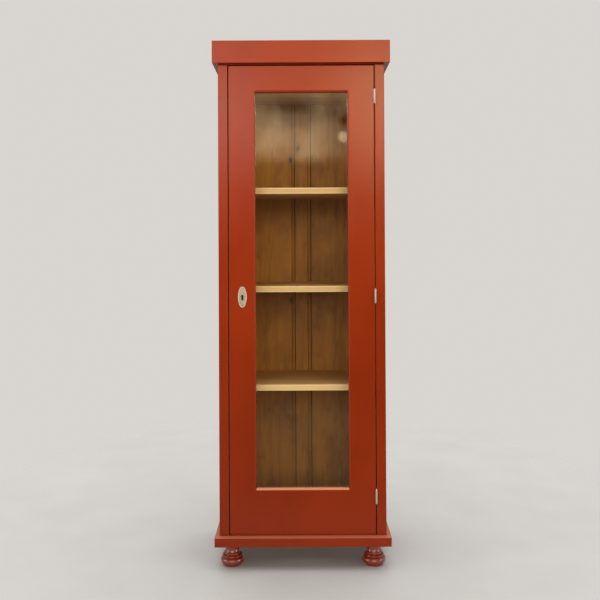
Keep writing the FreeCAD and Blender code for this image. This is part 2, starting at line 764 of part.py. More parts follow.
# Door frame: stiles and rails tenoned together, window and glass rebate worked through all four
def door():
    frame = block((-door_x, door_x), (face_y, rear_y), (door_z0, door_z1))
    frame = eased(frame, arris, lambda p, d: near(p.y, face_y))
    window = block((-win_x, win_x), (face_y - overrun, rear_y + overrun), (win_z0, win_z1))
    frame = frame.cut(window)
    frame = eased(frame, lip_round, lambda p, d: near(p.y, face_y) and within(p, win_x, (win_z0, win_z1)))
    rebate_x = win_x + rebate_w
    rebate_z = (win_z0 - rebate_w, win_z1 + rebate_w)
    frame = frame.cut(block((-rebate_x, rebate_x), (face_y + lip_t, rear_y + overrun), rebate_z))

    tenon_y = (face_y + (door_t - door_tenon_t) / 2, face_y + (door_t + door_tenon_t) / 2)
    rails = {"bottom": (door_z0, win_z0), "top": (win_z1, door_z1)}
    mortises = []
    for place, (z0, z1) in rails.items():
        tenon_z = (z0 + door_tenon_shoulder, z1 - door_tenon_shoulder)
        reach = win_x + door_tenon_len
        tenon = block((-reach, reach), tenon_y, tenon_z)
        rail = frame.common(block((-win_x, win_x), (face_y, rear_y), (z0, z1)))
        nodes[f"door_{place}_rail"] = rail.fuse(tenon).removeSplitter()
        mortises.append(block((-reach - mortise_end_gap, reach + mortise_end_gap), tenon_y, tenon_z))

    stile_z = (door_z0, door_z1)
    lock_stile = frame.common(block((-door_x, -win_x), (face_y, rear_y), stile_z)).cut(mortises)
    hinge_stile = frame.common(block((win_x, door_x), (face_y, rear_y), stile_z)).cut(mortises)
    pocket = block(
        (edge_x0 - overrun, case_x[1] + lock_pocket_gap),
        (case_y[0] - lock_pocket_gap, rear_y + overrun),
        (case_z[0] - lock_pocket_gap, case_z[1] + lock_pocket_gap),
    )
    key_way = keyhole(key_wood_gap, face_y - overrun, rear_y)
    lock_cuts = [pocket, key_way, bolt_mouth] + lock_seats + lock_screw_holes + plate_pin_holes
    nodes["door_lock_stile"] = lock_stile.cut(lock_cuts)
    nodes["door_hinge_stile"] = hinge_stile.cut(door_recesses + door_screw_holes)


door()


# Glass on the lip, held by mitred strips in the rest of the rebate
glass_x = win_x + rebate_w - glass_edge_gap
glass_z = (win_z0 - rebate_w + glass_edge_gap, win_z1 + rebate_w - glass_edge_gap)
glass_y = (face_y + lip_t, face_y + lip_t + glass_t)
nodes["door_glass"] = block((-glass_x, glass_x), glass_y, glass_z)


def glazing_strips():
    out_x = win_x + rebate_w
    in_x = out_x - bead_strip_w
    out_z = (win_z0 - rebate_w, win_z1 + rebate_w)
    in_z = (out_z[0] + bead_strip_w, out_z[1] - bead_strip_w)
    y = glass_y[1]
    hollow = block((-in_x, in_x), (y - overrun, rear_y + overrun), in_z)
    ring = block((-out_x, out_x), (y, rear_y), out_z).cut(hollow)
    ring = eased(ring, bead_strip_round, lambda p, d: near(p.y, rear_y) and within(p, in_x, in_z))
    outer = [V(-out_x, y, out_z[0]), V(out_x, y, out_z[0]), V(out_x, y, out_z[1]), V(-out_x, y, out_z[1])]
    inner = [V(-in_x, y, in_z[0]), V(in_x, y, in_z[0]), V(in_x, y, in_z[1]), V(-in_x, y, in_z[1])]
    for i, place in enumerate(("bottom", "right", "top", "left")):
        j = (i + 1) % len(outer)
        outline = [outer[i], outer[j], inner[j], inner[i]]
        nodes[f"glazing_strip_{place}"] = ring.common(slab(outline, V(0, rear_y - y, 0)))


glazing_strips()

os.makedirs("parts", exist_ok=True)
for name, shape in nodes.items():
    shape.exportStep(f"parts/{name}.step")
print(len(nodes), "pieces")
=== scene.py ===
import bmesh
import bpy
import numpy as np
from mathutils import Matrix, Vector


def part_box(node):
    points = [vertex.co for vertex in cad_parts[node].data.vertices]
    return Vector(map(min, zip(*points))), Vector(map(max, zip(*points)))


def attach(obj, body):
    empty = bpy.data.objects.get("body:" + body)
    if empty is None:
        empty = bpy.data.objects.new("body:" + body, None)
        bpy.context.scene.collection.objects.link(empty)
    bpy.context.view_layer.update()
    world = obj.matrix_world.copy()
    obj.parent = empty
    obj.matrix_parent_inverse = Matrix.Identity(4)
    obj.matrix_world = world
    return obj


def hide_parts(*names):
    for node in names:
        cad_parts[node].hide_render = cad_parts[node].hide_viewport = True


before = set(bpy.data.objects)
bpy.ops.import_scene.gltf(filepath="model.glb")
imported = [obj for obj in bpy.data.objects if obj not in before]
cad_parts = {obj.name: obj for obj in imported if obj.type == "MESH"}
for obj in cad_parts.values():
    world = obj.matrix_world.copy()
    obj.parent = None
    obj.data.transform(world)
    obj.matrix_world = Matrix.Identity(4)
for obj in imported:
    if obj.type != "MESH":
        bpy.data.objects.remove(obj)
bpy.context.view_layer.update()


# Turned feet. Four bun feet turned from pine, each with a spigot glued up into the base.
# They are painted with the case in satin red; on a turned piece the brush runs round it.
class Value:
    """One output of a node tree. Arithmetic on it adds the Math nodes that work the result out."""

    def __init__(self, tree, socket):
        self.tree = tree
        self.socket = socket

    def math(self, operation, first, second=0.0):
        return self.tree.node("ShaderNodeMath", {"operation": operation}, {0: first, 1: second})

    def __add__(self, other):
        return self.math("ADD", self, other)

    def __sub__(self, other):
        return self.math("SUBTRACT", self, other)

    def __rsub__(self, other):
        return self.math("SUBTRACT", other, self)

    def __mul__(self, other):
        return self.math("MULTIPLY", self, other)

    def __truediv__(self, other):
        return self.math("DIVIDE", self, other)

    def __pow__(self, other):
        return self.math("POWER", self, other)

    def __rpow__(self, other):
        return self.math("POWER", other, self)

    def __abs__(self):
        return self.math("ABSOLUTE", self)

    __radd__ = __add__
    __rmul__ = __mul__

    def step(self, low, high):
        """A smooth step from 0 at low to 1 at high, or the other way down where low is the larger."""
        limits = {"Value": self, "From Min": low, "From Max": high}
        return self.tree.node("ShaderNodeMapRange", {"interpolation_type": "SMOOTHSTEP"}, limits)


class Tree:
    """The node tree of a material or of the world, and the ways a finish is put together in it."""

    def __init__(self, owner):
        self.owner = owner
        owner.use_nodes = True
        owner.node_tree.nodes.clear()

    def node(self, kind, settings=None, inputs=None, output=0):
        """Adds a node, sets it and feeds its sockets. Gives one output, a tuple of them, or None."""
        made = self.owner.node_tree.nodes.new(kind)
        for name, value in (settings or {}).items():
            setattr(made, name, value)
        for socket, value in (inputs or {}).items():
            if isinstance(value, Value):
                self.owner.node_tree.links.new(value.socket, made.inputs[socket])
            else:
                made.inputs[socket].default_value = value
        if output is None:
            return None
        if isinstance(output, tuple):
            return tuple(Value(self, made.outputs[name]) for name in output)
        return Value(self, made.outputs[output])

    def place(self):
        """Where a point of the surface is, in metres, in the cabinet's own frame."""
        return self.node("ShaderNodeTexCoord", output="Object")

    def axes(self):
        """The same place as three numbers: across, towards the back, and up."""
        return self.node("ShaderNodeSeparateXYZ", {}, {0: self.place()}, ("X", "Y", "Z"))

    def noise(self, lump, detail=2.0, seed=0.0):
        """Cloudy noise about 0.5, with lumps of these lengths in metres along the three axes."""
        scale = [1 / length for length in lump]
        where = {"Vector": self.place(), "Location": (seed, seed * 0.7, seed * 1.3), "Scale": scale}
        spread = self.node("ShaderNodeMapping", {}, where)
        return self.node("ShaderNodeTexNoise", {}, {"Vector": spread, "Scale": 1.0, "Detail": detail})

    def mix(self, share, first, second, blend="MIX"):
        """Goes from the first colour to the second by a share from 0 to 1."""
        inputs = {0: share, 6: first, 7: second}
        return self.node("ShaderNodeMix", {"data_type": "RGBA", "blend_type": blend}, inputs, 2)

    def surface(self, colour, roughness, relief, constants=None, normal=None):
        """Closes a material: one shader, with its relief in metres as a bump."""
        bump = {"Strength": 1.0, "Distance": 1.0, "Height": relief}
        if normal is not None:
            bump["Normal"] = normal
        bumped = self.node("ShaderNodeBump", {}, bump)
        inputs = {"Base Color": colour, "Roughness": roughness, "Normal": bumped}
        shader = self.node("ShaderNodeBsdfPrincipled", {}, {**inputs, **(constants or {})})
        self.node("ShaderNodeOutputMaterial", {}, {"Surface": shader}, None)
        return self.owner


def new_finish(name):
    """An empty material of this name."""
    return Tree(bpy.data.materials.new(name))


def dress(material, *names):
    """Gives the named pieces of the frame this material, in every slot they have."""
    for name in names:
        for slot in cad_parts[name].material_slots:
            slot.material = material


def srgb(red, green, blue):
    """The linear colour of an 8-bit screen colour."""
    level = np.array([red, green, blue]) / 255
    linear = np.where(level <= 0.04045, level / 12.92, ((level + 0.055) / 1.055) ** 2.4)
    return (*linear.tolist(), 1.0)


def red_paint(tree, stroke, flush=None):
    """Colour, roughness, relief and eased normal of the satin paint.

    stroke gives the lengths of a brush mark along the three axes. The colour is a deep red that clouds
    a little over hand-sized patches and between strokes. In patches on the arrises, where a normal averaged
    over 2 mm leaves the face's own normal, it thins to the pale undercoat, which also stands as a painted
    highlight along them. flush is 1 along the joints that the paint bridges, which have no arris."""
    deep = srgb(120, 35, 6)
    full = srgb(134, 42, 10)
    undercoat_and_highlight = srgb(205, 120, 90)
    cloud = tree.noise((0.3, 0.3, 0.45), 3.0)
    brush = tree.noise(stroke, 3.0, 4.0)
    nap = tree.noise((0.0011, 0.0011, 0.0011), 1.0)
    patch = tree.noise((0.05, 0.05, 0.05), 4.0, 9.0)
    eased = tree.node("ShaderNodeBevel", {"samples": 6}, {"Radius": 0.002})
    face = tree.node("ShaderNodeNewGeometry", output="Normal")
    turn = tree.node("ShaderNodeVectorMath", {"operation": "DOT_PRODUCT"}, {0: eased, 1: face}, "Value")
    arris = (1 - turn).step(0.03, 0.3)
    if flush is not None:
        arris = arris * (1 - flush)
        eased = tree.node("ShaderNodeMix", {"data_type": "VECTOR"}, {0: flush, 4: eased, 5: face}, 1)
    colour = tree.mix(cloud.step(0.3, 0.7) * 0.75 + brush * 0.15, deep, full)
    # Pale undercoat in patches on the arrises: worn paint and a painted highlight along the edges.
    colour = tree.mix(arris * patch.step(0.42, 0.66) * 0.5, colour, undercoat_and_highlight)
    roughness = 0.15 + cloud * 0.05 + brush * 0.04 + arris * 0.1
    relief = brush * 0.000014 + nap * 0.000004 + patch * 0.00003
    return colour, roughness, relief, eased


def painted(name, stroke, joints=None, shaded=None, faded_and_lit=None, shine=0.2):
    """A material of red paint alone, with shine as the level of what it mirrors.

    joints and the two arguments after it each work out a share from a place's coordinates: where the paint
    bridges a joint, where shade is painted in as a dark red-brown, and where the paint is rubbed thin on
    the sill and dusty on the base's ledge, both also painted lighter as a highlight."""
    tree = new_finish(name)
    flush = joints(*tree.axes()) if joints else None
    colour, roughness, relief, eased = red_paint(tree, stroke, flush)
    # Painted shade: a dark red-brown where the shade mask is.
    if shaded:
        colour = tree.mix(shaded(*tree.axes()), colour, srgb(44, 12, 6))
    # A pale tone for thin and dusty paint, which also stands as a painted highlight.
    if faded_and_lit:
        colour = tree.mix(faded_and_lit(*tree.axes()), colour, srgb(232, 160, 124))
    return tree.surface(colour, roughness, relief, {"Specular IOR Level": shine}, eased)


paint_turned = painted("red_paint_turned", (0.12, 0.12, 0.0025), shine=0.8)
dress(paint_turned, "foot_front_left", "foot_front_right", "foot_rear_left", "foot_rear_right")


# Base frame. Four flat pine boards, mitred at the front corners and tenoned behind, bored for the feet.
# Its sharp edges are eased with a block plane, and the paint runs over the mitres.
def base_dust_and_sheen(x, y, z):
    """Fine dust on the ledge round the base, with a painted sheen from the light above."""
    return z.step(0.1138, 0.1147) * 0.25


# The ledge round the base takes dust and a painted sheen.
paint_base = painted("red_paint_base", (0.35, 0.004, 0.004), None, None, base_dust_and_sheen)
paint_base_side = painted("red_paint_base_side", (0.004, 0.35, 0.004), None, None, base_dust_and_sheen)
dress(paint_base, "plinth_front", "plinth_back")
dress(paint_base_side, "plinth_left", "plinth_right")


# Case. Two front posts and a head rail, and the side panels tongued into the posts behind.
# The panels are painted outside only, and inside they show the waxed pine.
def pine(tree, along, across, through, board, tones, knots=()):
    """Colour, roughness and relief of a pine board.

    Growth rings lie about the tree's heart, a wandering line at the place and slope that board gives,
    so the distance from it over the ring width counts rings, and each ring darkens slowly from its pale
    early wood to a thin band of late wood. A knot (along, across, radius) pushes the rings aside by a
    bell curve about it and shows its own close rings. Fibres are noise drawn out along the board."""
    heart_across, heart_depth, slope, ring_width, seed = board
    pale, band, knot_brown = tones
    long_way = 0.5, 0.02, 0.02
    order = [value.socket.name for value in (along, across, through)]
    reach = [long_way[order.index(name)] for name in ("X", "Y", "Z")]
    wander = tree.noise([length * 0.6 for length in reach], 1.0, seed)
    streak = tree.noise(reach, 3.0, seed + 3.0)
    fibre = tree.noise([length * 0.05 if length < 0.1 else length * 0.1 for length in reach], 2.0, seed)
    aside = across - heart_across + wander * 0.02
    depth = through - heart_depth + along * slope + wander * 0.012
    rings = (aside * aside + depth * depth) ** 0.5 / ring_width
    core = 0.0
    halo = 0.0
    for knot_along, knot_across, radius in knots:
        off_along = (along - knot_along) * 0.7
        off_across = across - knot_across + wander * 0.004 - 0.002
        off = (off_along * off_along + off_across * off_across) ** 0.5
        spread = off / radius
        rings = rings + 2.5 * 2.718 ** (spread * spread * -0.25)
        core = spread.step(1.05, 0.8) + core
        halo = spread.step(3.2, 0.9) + halo
    part = rings.math("FRACT", rings)
    late = part.step(0.25, 0.9) * part.step(1.0, 0.93)
    grain = late * (0.12 + streak * 0.4)
    colour = tree.mix(grain + streak.step(0.35, 0.7) * 0.3, pale, band)
    colour = tree.mix(fibre.step(0.45, 0.75) * 0.18, colour, band)
    if knots:
        colour = tree.mix(halo * 0.35, colour, knot_brown)
        colour = tree.mix(core * 0.85, colour, knot_brown)
    roughness = 0.5 + fibre * 0.14 - grain * 0.08
    relief = grain * 0.00006 + fibre * 0.00005
    return colour, roughness, relief


def post_gap_shade(x, y, z):
    """Painted shade on the posts' inner edges, in the gap where the door shuts."""
    return abs(x).step(0.2527, 0.2522) * 0.6


paint_upright = painted("red_paint_upright", (0.004, 0.004, 0.35))
# The posts carry painted shade on their inner edges, in the gap by the door.
paint_post = painted("red_paint_post", (0.004, 0.004, 0.35), None, post_gap_shade)
paint_across = painted("red_paint_across", (0.35, 0.004, 0.004))
dress(paint_post, "left_front_post", "right_front_post")
dress(paint_across, "head_rail")

panel_inner_x = 0.2645
panel_tones = srgb(190, 142, 84), srgb(140, 90, 42), srgb(80, 44, 20)
tree = new_finish("side_panel_paint_and_pine")
x, y, z = tree.axes()
outside = abs(x).step(panel_inner_x + 0.0004, panel_inner_x + 0.0012) * y.step(0.1932, 0.1926)
paint_colour, paint_roughness, paint_relief, paint_normal = red_paint(tree, (0.004, 0.004, 0.35))
wood_colour, wood_roughness, wood_relief = pine(tree, z, y, x, (0.05, 0.34, 0.02, 0.0042, 7.0), panel_tones)
panel_material = tree.surface(
    tree.mix(outside, wood_colour, paint_colour),
    wood_roughness + outside * (paint_roughness - wood_roughness),
    wood_relief + outside * (paint_relief - wood_relief),
    {"Specular IOR Level": 0.2},
    paint_normal,
)
dress(panel_material, "left_side_panel", "right_side_panel")


# Back. Three upright boards of older pine, tongued together, with a bead worked beside each joint.
# They are waxed amber towards the inside and left grey and bare behind, where cut nails hold them.
back_rows = {
    "back_board_left": (
        (-0.13, 0.30, 0.030, 0.0046, 1.0),
        ((0.89, -0.041, 0.005), (1.434, -0.042, 0.0065), (0.30, -0.21, 0.007)),
    ),
    "back_board_middle": ((0.02, 0.26, 0.022, 0.0040, 12.0), ((1.478, -0.013, 0.0085),)),
    "back_board_right": ((0.17, 0.29, -0.026, 0.0044, 23.0), ((1.18, 0.21, 0.008),)),
}
back_joints = -0.0254, 0.0366
quirk_off = 0.0122
for name, (board, knots) in back_rows.items():
    tree = new_finish(name + "_old_pine")
    x, y, z = tree.axes()
    bare = y.step(0.1905, 0.1925)
    pale = tree.mix(bare, srgb(171, 112, 29), srgb(148, 130, 106))
    band = tree.mix(bare, srgb(128, 75, 16), srgb(96, 78, 60))
    colour, roughness, relief = pine(tree, z, x, y, board, (pale, band, srgb(58, 28, 8)), knots)
    age = tree.noise((0.12, 0.12, 0.2), 4.0, 31.0)
    stain = tree.noise((0.05, 0.05, 0.07), 5.0, 37.0)
    colour = tree.mix(age.step(0.4, 0.75) * 0.35 + stain.step(0.52, 0.7) * 0.3, colour, srgb(92, 52, 18))
    dirt = 0.0
    for joint in back_joints:
        seam = abs(x - joint).step(0.0026, 0.0009)
        quirk = abs(x - joint + quirk_off).step(0.002, 0.0005)
        dirt = seam * 0.85 + quirk * 0.25 + dirt
    colour = tree.mix(dirt, colour, srgb(40, 22, 10))
    saw = tree.noise((0.3, 0.3, 0.0016), 1.0, 5.0)
    colour = tree.mix(bare * saw.step(0.45, 0.75) * 0.3, colour, srgb(172, 156, 132))
    dress(tree.surface(colour, roughness + bare * 0.25, relief + bare * saw * 0.0001), name)


def worn_metal(name, bright, dull, wear, roughness, metallic=1.0, shaded=None):
    """Metal that is bright where it is handled and dull between, with fine scratches in its polish."""
    tree = new_finish(name)
    tarnish = tree.noise((0.03, 0.03, 0.03), 3.0, 2.0).step(*wear)
    scratch = tree.noise((0.0006, 0.0006, 0.03), 2.0, 6.0)
    colour = tree.mix(tarnish * 0.8 + scratch * 0.2, bright, dull)
    # Painted shade: near-black where the given shade mask is.
    if shaded:
        colour = tree.mix(shaded(*tree.axes()), colour, srgb(8, 6, 5))
    rough = roughness + tarnish * 0.14 + scratch * 0.12
    return tree.surface(colour, rough, scratch * 0.00001, {"Metallic": metallic})


iron = worn_metal("fixing_iron", srgb(112, 104, 98), srgb(74, 50, 36), (0.38, 0.62), 0.42, 0.9)
dress(iron, "back_nails")


# Floor, ceiling, stop strip and cleats. Planed pine let into the sides or nailed to them.
# They darkened with the back boards, and the strip stops the door on its free side.
lining_rows = {
    "floor_board": ("X", (0.03, 0.30, 0.025, 0.0045, 41.0)),
    "ceiling_board": ("X", (-0.05, 1.50, 0.02, 0.0043, 47.0)),
    "left_shelf_cleats": ("Y", (0.70, -0.40, 0.05, 0.0030, 53.0)),
    "right_shelf_cleats": ("Y", (0.60, 0.42, 0.05, 0.0030, 59.0)),
    "door_stop_strip": ("Z", (-0.30, -0.05, 0.03, 0.0032, 61.0)),
}
lining_tones = srgb(186, 136, 76), srgb(134, 84, 36), srgb(70, 38, 16)
for name, (way, board) in lining_rows.items():
    tree = new_finish(name + "_old_pine")
    x, y, z = tree.axes()
    directions = {"X": (x, y, z), "Y": (y, z, x), "Z": (z, x, y)}[way]
    colour, roughness, relief = pine(tree, *directions, board, lining_tones)
    dress(tree.surface(colour, roughness, relief), name)


# Shelves. Three loose pine boards on the cleats, planed and waxed a pale honey.
# Their front edges are rounded over; the tops are painted paler towards the front as painted light, each
# shelf's edge has its own lit tone, and the rounded arrises carry a painted highlight.
shelf_rows = {
    "shelf_lower": ((0.06, 0.48, 0.03, 0.0046, 71.0), ((-0.20, 0.06, 0.009),), srgb(230, 192, 132)),
    "shelf_middle": ((-0.02, 0.83, -0.02, 0.0042, 79.0), ((0.12, -0.02, 0.008),), srgb(208, 170, 111)),
    "shelf_upper": ((0.01, 1.19, 0.025, 0.0044, 83.0), ((0.05, 0.09, 0.008),), srgb(196, 158, 103)),
}
shelf_tones = srgb(182, 132, 70), srgb(146, 96, 40), srgb(92, 52, 20)
# The tone of the painted highlight on the shelves' rounded front arrises.
highlight_tone = srgb(244, 216, 164)
for name, (board, knots, lit_edge_tone) in shelf_rows.items():
    tree = new_finish(name + "_pine")
    x, y, z = tree.axes()
    colour, roughness, relief = pine(tree, x, y, z, board, shelf_tones, knots)
    # Painted light: the top grows paler towards the front and the edge takes this shelf's lit tone.
    colour = tree.mix(y.step(0.02, -0.11) * 0.45 + y.step(-0.108, -0.117) * 0.4, colour, lit_edge_tone)
    middle_z = sum(corner[2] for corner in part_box(name)) / 2
    # Painted highlight along the top and bottom arrises of the front edge.
    edge_highlight = abs(z - middle_z).step(0.006, 0.0095) * y.step(-0.112, -0.117)
    colour = tree.mix(edge_highlight * 0.6, colour, highlight_tone)
    dress(tree.surface(colour, roughness, relief), name)


# Cornice. Three plain boards planted round the head of the case, mitred in front, and a flat top board.
# The paint has shrunk into the line where the top board lies on them.
def cornice_joints(x, y, z):
    """1 within 4 mm of the line where the top board lies on the ring."""
    return abs(z - 1.782).step(0.004, 0.003)


paint_cornice = painted("red_paint_cornice", (0.35, 0.004, 0.004), cornice_joints)
paint_cornice_side = painted("red_paint_cornice_side", (0.004, 0.35, 0.004), cornice_joints)
dress(paint_cornice, "cornice_front", "cornice_top")
dress(paint_cornice_side, "cornice_left", "cornice_right")


# Door. Two stiles and two rails, mortised and tenoned, with a rounded lip round the glass.
# All of it is painted, inside and out, the stiles up their length and the rails across.
def door_joints(x, y, z):
    """1 within 4 mm of the rails' shoulders, above and below the window."""
    return abs(abs(x) - 0.158).step(0.004, 0.003) * abs(z - 0.9515).step(0.679, 0.680)


key_x, key_z = -0.2035, 0.928
plate_half_w, plate_half_h = 0.015, 0.0355


def stile_shade(x, y, z):
    """Painted shade on the door's outer edges in the gap and in the keyhole, and a painted shadow close
    round its plate.
    """
    aside = (x - key_x) / plate_half_w
    off = (z - key_z) / plate_half_h
    # Painted shadow in a ring just round the keyhole plate.
    plate_shadow = (aside * aside + off * off).step(1.35, 0.95) * y.step(-0.1695, -0.1705)
    # Painted shade inside the keyhole.
    keyhole = abs(aside).step(0.67, 0.53) * abs(off).step(0.62, 0.51)
    # Painted shade on the door's outer edges, in the gap.
    return abs(x).step(0.2483, 0.2488) * 0.6 + plate_shadow * 0.55 + keyhole


def sill_wear_and_highlight(x, y, z):
    """Paint rubbed thin along the sill of the window, and painted lighter there as a highlight from above.
    """
    return z.step(0.2675, 0.2725) * z.step(0.4, 0.3) * 0.6


# The stiles take painted shade and a painted shadow; the rails' sill is worn thin and painted lighter as a
# highlight.
paint_stile = painted("red_paint_stile", (0.004, 0.004, 0.35), door_joints, stile_shade)
paint_rail = painted("red_paint_rail", (0.35, 0.004, 0.004), door_joints, None, sill_wear_and_highlight)
dress(paint_stile, "door_lock_stile", "door_hinge_stile")
dress(paint_rail, "door_top_rail", "door_bottom_rail")


# Glass. One pane of drawn window glass, faintly wavy, laid on the lip of the rebate.
# Light goes straight through it, but for what its two faces mirror.
tree = new_finish("clear_glass")
wave = tree.noise((0.09, 0.09, 0.16), 2.0, 3.0)
bump = tree.node("ShaderNodeBump", {}, {"Strength": 1.0, "Distance": 1.0, "Height": wave * 0.00006})
glance = tree.node("ShaderNodeLayerWeight", {}, {"Blend": 0.5, "Normal": bump}, "Facing")
mirrored = 0.04 + glance**5 * 0.96
clear = tree.node("ShaderNodeBsdfTransparent", {}, {"Color": (0.985, 0.992, 0.985, 1.0)})
mirror = {"Color": (1.0, 1.0, 1.0, 1.0), "Roughness": 0.02, "Normal": bump}
shine = tree.node("ShaderNodeBsdfGlossy", {}, mirror)
pane = tree.node("ShaderNodeMixShader", {}, {0: mirrored, 1: clear, 2: shine})
tree.node("ShaderNodeOutputMaterial", {}, {"Surface": pane}, None)
dress(tree.owner, "door_glass")


# Glazing strips. Four small rounded strips, mitred round the pane and pinned into the rebate.
# They are painted with the door, and the heads of the brass pins are left showing.
dress(paint_upright, "glazing_strip_left", "glazing_strip_right")
dress(paint_across, "glazing_strip_top", "glazing_strip_bottom")


def lathe(profile, turns):
    """Spins a profile: the point at turn a is (r cos a, r sin a, h). Gives (points, turns, 3)."""
    radius, height = np.array(profile).T[:, :, None]
    angle = np.arange(turns) * 2 * np.pi / turns
    return np.stack([radius * np.cos(angle), radius * np.sin(angle), height + 0 * angle], axis=-1)


def grid_piece(name, points, material):
    """Makes one mesh of a stack of grids, points[copy, row, column], each closed round its columns.

    A cell is a quad that faces along (next column) x (next row). Points that fall together, as at a
    pole, are merged."""
    copies, rows, columns = points.shape[:3]
    index = np.arange(copies * rows * columns).reshape(copies, rows, columns)
    ahead = np.roll(index, -1, axis=2)
    cells = np.stack([index[:, :-1], ahead[:, :-1], ahead[:, 1:], index[:, 1:]], axis=-1)
    mesh = bpy.data.meshes.new(name)
    mesh.from_pydata(points.reshape(-1, 3).tolist(), [], cells.reshape(-1, 4).tolist())
    shell = bmesh.new()
    shell.from_mesh(mesh)
    bmesh.ops.remove_doubles(shell, verts=shell.verts, dist=0.000001)
    shell.to_mesh(mesh)
    shell.free()
    mesh.materials.append(material)
    piece = bpy.data.objects.new(name, mesh)
    bpy.context.collection.objects.link(piece)
    return piece


low, high = (np.array(corner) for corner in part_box("glazing_strip_left"))
end_gap, pin_in = 0.06, 0.0022
rows_up = np.linspace(low[2] + end_gap, high[2] - end_gap, 7)
rows_across = np.linspace(low[0] + end_gap, -low[0] - end_gap, 3)
places = [(side * (-low[0] - pin_in), at) for side in (-1, 1) for at in rows_up]
places += [(at, edge) for edge in (low[2] + pin_in, high[2] - pin_in) for at in rows_across]
neck = [(0.0, -0.0004), (0.0009, -0.0004), (0.0013, 0.0)]
dome = [(0.0011, 0.0003), (0.0006, 0.0005), (0.0, 0.00055)]
head = lathe(neck + dome, 12)
seat = np.array([(at[0], high[1], at[1]) for at in places])
turned = np.stack([head[..., 0], head[..., 2], -head[..., 1]], axis=-1)
brass = worn_metal("brass_pin", srgb(196, 160, 92), srgb(120, 88, 48), (0.4, 0.65), 0.3)
pins = grid_piece("glazing_pins", seat[:, None, None] + turned, brass)
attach(pins, "door")


# Hinges. Three butt hinges of bright steel, their leaves let in flush and the barrels standing proud.
# Countersunk slotted screws hold them, and each pin ends in a small turned tip.
steel = worn_metal("hinge_steel", srgb(204, 196, 188), srgb(140, 128, 118), (0.5, 0.72), 0.32)
for place in ("top", "middle", "bottom"):
    dress(steel, f"hinge_door_leaf_{place}", f"hinge_frame_leaf_{place}", f"hinge_pin_{place}")


def slotted_heads(node, axis, facing, body):
    """Heads for a node of screws, one at the middle of each island of points on its outermost plane.

    A head is a stack of loops across its slot, at R cos a along it. Each goes from the cone's foot over
    the rim at R sin a to the flat, down the slot's wall, across its floor and back the same way; past the
    slot's open ends the flat is at the floor. Each slot is turned on from the last."""
    head_r, slot_half, slot_deep, cone_deep = 0.0028, 0.0004, 0.0009, 0.0011
    foot_share = 0.6
    turn_on = 2.4
    spots = np.array([vertex.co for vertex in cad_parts[node].data.vertices])
    outermost = (spots[:, axis] * facing).max()
    spots = spots[spots[:, axis] * facing > outermost - 0.00002]
    middles = []
    while len(spots):
        near = np.linalg.norm(spots - spots[0], axis=1) < 2.2 * head_r
        middles.append(spots[near].mean(axis=0))
        spots = spots[~near]
    start = np.arcsin(slot_half / head_r)
    turns = np.linspace(np.pi - start, start, 11)
    angle = np.concatenate([[np.pi, np.pi - start], turns, [start, 0.0]])
    flat = np.full(len(angle), -slot_deep)
    flat[2:-2] = 0.0
    along, out = head_r * np.cos(angle), head_r * np.sin(angle)
    wall = np.minimum(out, slot_half)
    half = [(along * foot_share, out * foot_share, 0 * out - cone_deep), (along, out, flat)]
    half += [(along, wall, flat), (along, wall, 0 * out - slot_deep)]
    half = np.array(half).transpose(2, 0, 1)
    loops = np.concatenate([half, half[:, ::-1] * (1, -1, 1)], axis=1)
    first, second = np.eye(3)[(axis + 1) % 3], np.eye(3)[(axis + 2) % 3]
    copies = []
    for count, middle in enumerate(middles):
        turn = turn_on * count
        u = first * np.cos(turn) + second * np.sin(turn)
        v = (second * np.cos(turn) - first * np.sin(turn)) * facing
        copies.append(middle + loops @ np.array([u, v, np.eye(3)[axis] * facing]))
    heads = grid_piece(node + "_slotted", np.stack(copies), iron)
    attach(heads, body)
    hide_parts(node)


slotted_heads("hinge_screws_door", 0, 1, "door")
slotted_heads("hinge_screws_frame", 0, -1, "case")


# Lock. A cupboard lock let into the back of the free stile: plate, cap, bolt and bow spring.
# The steel has browned where hands don't reach.
def lock_shade(x, y, z):
    """Painted shade on the works and on the face of the plate, behind the keyhole."""
    return y.step(-0.1475, -0.1485) * abs(x - key_x).step(0.02, 0.014)


steel_tones = srgb(172, 166, 158), srgb(126, 112, 96)
# Painted shade on the lock's works behind the keyhole.
old_steel = worn_metal("lock_steel", *steel_tones, (0.4, 0.7), 0.34, 1.0, lock_shade)
dress(old_steel, "lock_plate", "lock_cap", "lock_bolt", "lock_spring", "strike_plate")
slotted_heads("lock_screws", 1, 1, "door")
slotted_heads("strike_screws", 0, 1, "case")


# Keyhole plate. An oval of nickelled brass with a raised rim, fixed by two round-headed pins.
# The rim is polished smoother and painted warm pink as a painted reflection of the red paint round it;
# grime lies inside it, and the hole is darkened in and round it as painted shade.
tree = new_finish("keyhole_nickel")
x, y, z = tree.axes()
rim = y.step(-0.1728, -0.1734)
grime = tree.noise((0.004, 0.004, 0.004), 4.0, 8.0)
scratch = tree.noise((0.0005, 0.0005, 0.006), 2.0, 5.0)
hole_top_z, hole_foot_z = 0.931, 0.9205
off_x = x - key_x
off_z = z - z.math("MAXIMUM", z.math("MINIMUM", z, hole_top_z), hole_foot_z)
# Painted shade in and round the keyhole.
hole_shade = (off_x * off_x + off_z * off_z).step(0.00004, 0.000018)
# The rim's warm pink is a painted reflection of the red paint round it.
colour = tree.mix(rim * 0.8, srgb(172, 162, 138), srgb(220, 192, 174))
colour = tree.mix(grime.step(0.45, 0.7) * (1 - rim * 0.7) * 0.6, colour, srgb(110, 92, 66))
colour = tree.mix(hole_shade * 0.6, colour, srgb(38, 32, 24))
roughness = 0.36 + grime * 0.2 - rim * 0.08
dress(tree.surface(colour, roughness, scratch * 0.00001, {"Metallic": 0.45}), "keyhole_plate")
dress(brass, "keyhole_plate_pins")


